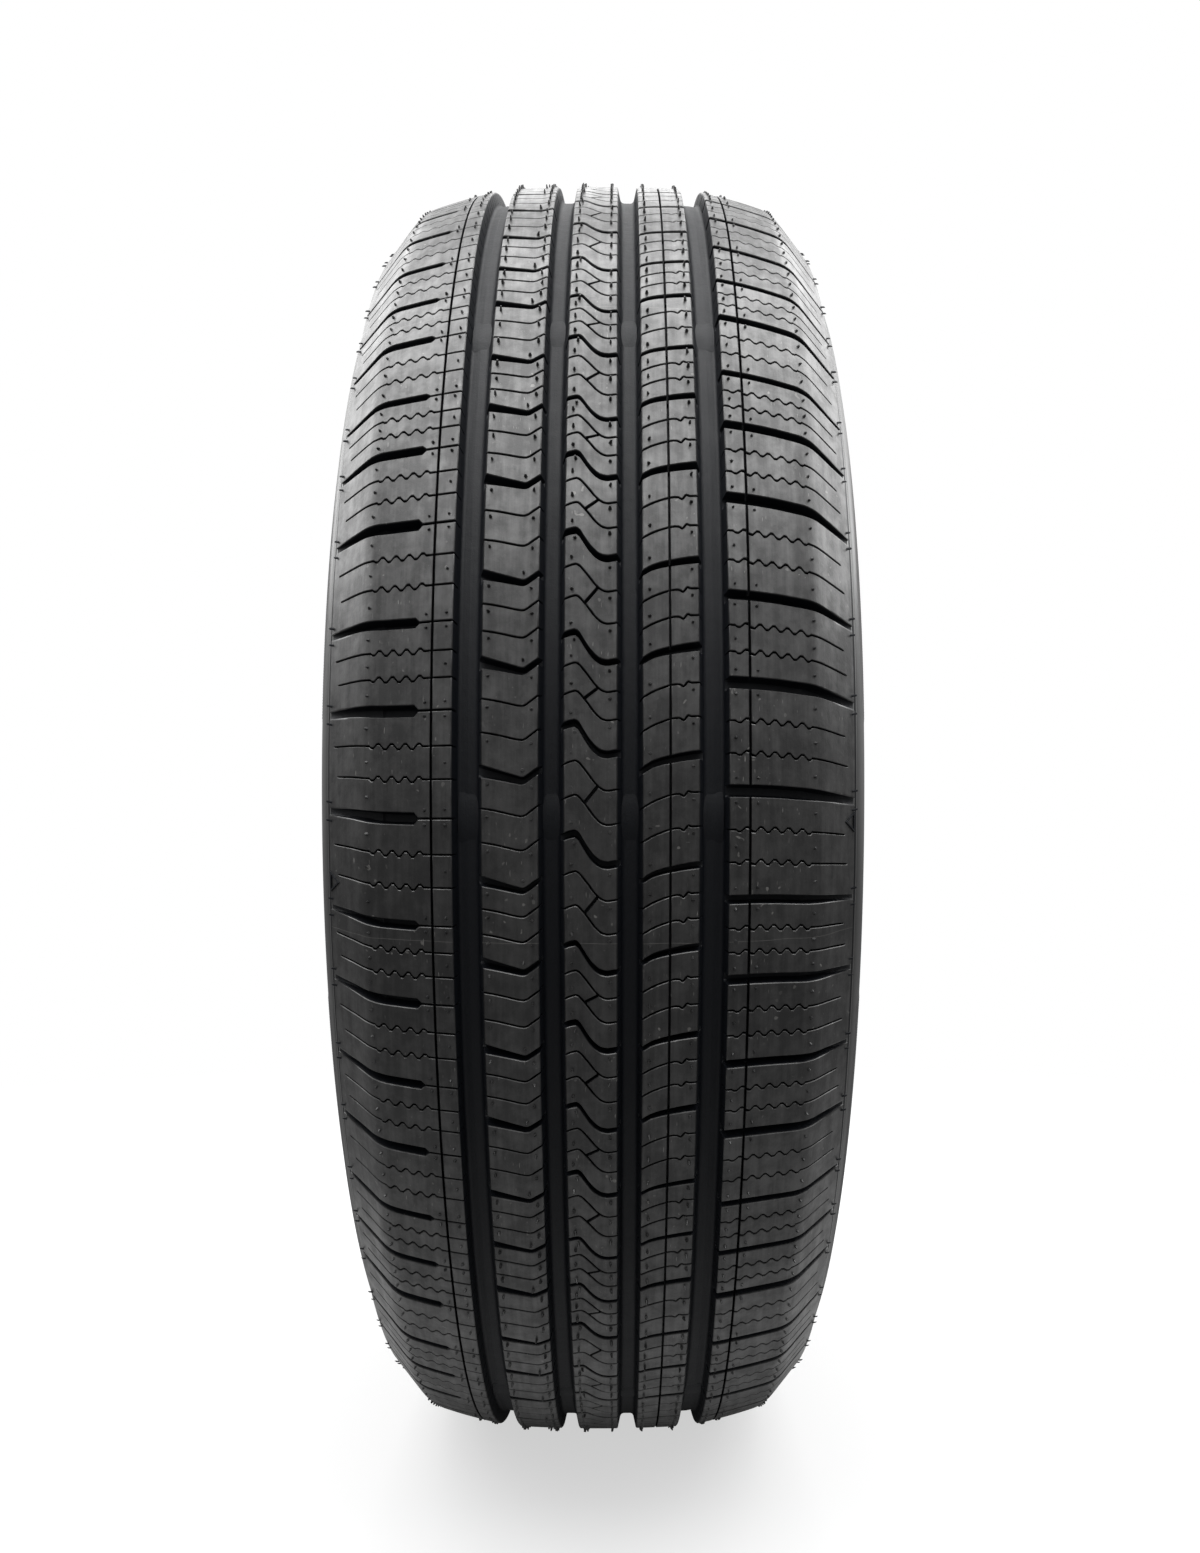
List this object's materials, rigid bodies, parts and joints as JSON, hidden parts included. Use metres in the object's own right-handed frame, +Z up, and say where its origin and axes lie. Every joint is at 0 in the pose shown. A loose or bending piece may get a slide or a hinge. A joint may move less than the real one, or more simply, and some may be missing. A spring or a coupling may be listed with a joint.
{
  "type": "car tyre",
  "caption": "Radial car tyre off its rim, with grooved ribs, sipes, rounded shoulders, cylindrical bead seats and an open air chamber.",
  "frame": {"origin": "the wheel centre: on the spin axis, midway between the beads", "axes": "+Y along the spin axis, +Z up from the ground flat, +X toward the side of the tread that the picture shows"},
  "size_m": [0.7392, 0.238, 0.7374],
  "materials": {
    "rubber": "satin moulded tread rubber, charcoal, slightly bloomed"
  },
  "bodies": {
    "root": {"tyre": "rubber"}
  },
  "joints": []
}
